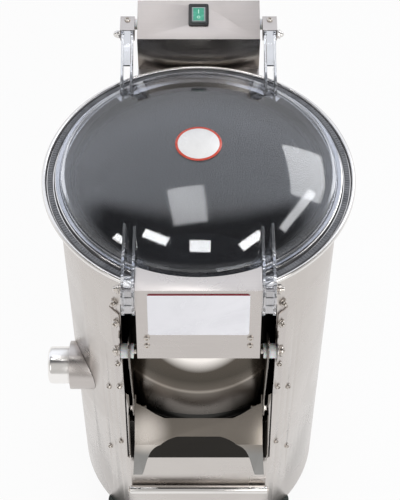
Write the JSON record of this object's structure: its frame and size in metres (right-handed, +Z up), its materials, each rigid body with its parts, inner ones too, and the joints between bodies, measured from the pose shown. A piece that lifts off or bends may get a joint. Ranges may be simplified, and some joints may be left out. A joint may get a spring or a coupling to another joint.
{
  "type": "electric potato peeler",
  "caption": "Free-standing stainless drum peeler with a clear hinged lid, hinged front discharge door and chute, sloping control box, side drain spout and belt-driven abrasive disc.",
  "frame": {"origin": "on the drum axis at floor level, where the rubber feet stand", "axes": "+Z up along the drum axis, -Y towards the front with the discharge chute, +X to the machine's left as it faces forward, which is the right in the picture"},
  "size_m": [0.396, 0.4798, 0.7019],
  "materials": {
    "stainless": "fine brushed stainless sheet",
    "dark_sheet": "bright rolled stainless sheet",
    "clear": "clear polycarbonate, slightly hazy",
    "fastener": "plated steel",
    "nylon": "white nylon",
    "rim_rubber": "grey ribbed rubber",
    "foot_rubber": "black-green rubber",
    "abrasive": "silicon carbide grit in resin",
    "black_plastic": "moulded",
    "green_plastic": "moulded, translucent",
    "print_white": "printed plate",
    "cast": "cast and machined",
    "shaft_steel": "ground steel",
    "motor_paint": "blue-grey enamel",
    "belt_rubber": "black rubber"
  },
  "bodies": {
    "machine": {"outer_casing": "stainless", "rim_ring": "stainless", "rim_band": "rim_rubber", "inner_drum": "stainless", "abrasive_lining": "abrasive", "drum_floor": "stainless", "base_plate": "stainless", "bearing_housing": "cast", "shaft_bearings": "shaft_steel", "shaft_seal": "belt_rubber", "drive_belt": "belt_rubber", "motor": "motor_paint", "motor_plate": "stainless", "rubber_feet": "foot_rubber", "foot_bolts": "fastener", "control_box": "stainless", "switch_bezel": "black_plastic", "cable_gland": "black_plastic", "terminal_block": "black_plastic", "hinge_bolts": "fastener", "hinge_bushes": "nylon", "drain_spout": "dark_sheet", "spout_collar": "stainless", "water_inlet": "fastener", "edge_brackets": "stainless", "outer_bushes": "nylon", "pivot_bolts": "fastener", "casing_screws": "fastener", "chute_tray": "stainless", "chute_rod": "dark_sheet", "chute_screws": "fastener"},
    "lid": {"clear_lid": "clear", "lid_sticker": "print_white", "ear_clips": "stainless", "clip_bolts": "fastener", "clip_screws": "fastener", "latch_rod": "fastener", "rod_nuts": "fastener"},
    "front_plate": {"latch_plate": "stainless", "label_plate": "print_white", "latch_screws": "fastener", "latch_blocks": "black_plastic"},
    "door": {"side_levers": "dark_sheet", "door_plate": "dark_sheet", "guard_sheet": "dark_sheet", "inner_bushes": "nylon", "tie_bolts": "fastener"},
    "spindle": {"abrasive_disc": "abrasive", "disc_nut": "fastener", "drive_shaft": "shaft_steel", "drum_pulley": "cast"},
    "motor_drive": {"motor_pulley": "cast", "motor_shaft": "shaft_steel"},
    "rocker": {"switch_rocker": "green_plastic"}
  },
  "joints": [
    {"name": "lid_hinge", "type": "hinge", "parent": "machine", "child": "lid", "pos_m": [0, 0.22, 0.685], "axis": [-1, 0, 0], "range_deg": [0, 80]},
    {"name": "plate_swing", "type": "hinge", "parent": "lid", "child": "front_plate", "pos_m": [0, -0.189, 0.649], "axis": [-1, 0, 0], "range_deg": [0, 20]},
    {"name": "door_swing", "type": "hinge", "parent": "machine", "child": "door", "pos_m": [0, -0.158, 0.486], "axis": [-1, 0, 0], "range_deg": [0, 55]},
    {"name": "switch_press", "type": "hinge", "parent": "machine", "child": "rocker", "pos_m": [0, 0.22805, 0.69128], "axis": [1, 0, 0], "range_deg": [0, 10]},
    {"name": "disc_spin", "type": "hinge", "parent": "machine", "child": "spindle", "pos_m": [0, 0, 0.3], "axis": [0, 0, 1], "continuous": true},
    {"name": "motor_spin", "type": "hinge", "parent": "machine", "child": "motor_drive", "pos_m": [0, 0.108, 0.3], "axis": [0, 0, 1], "continuous": true}
  ],
  "couplings": [
    {"joint": "motor_spin", "follows": "disc_spin", "ratio": 2.6154}
  ]
}
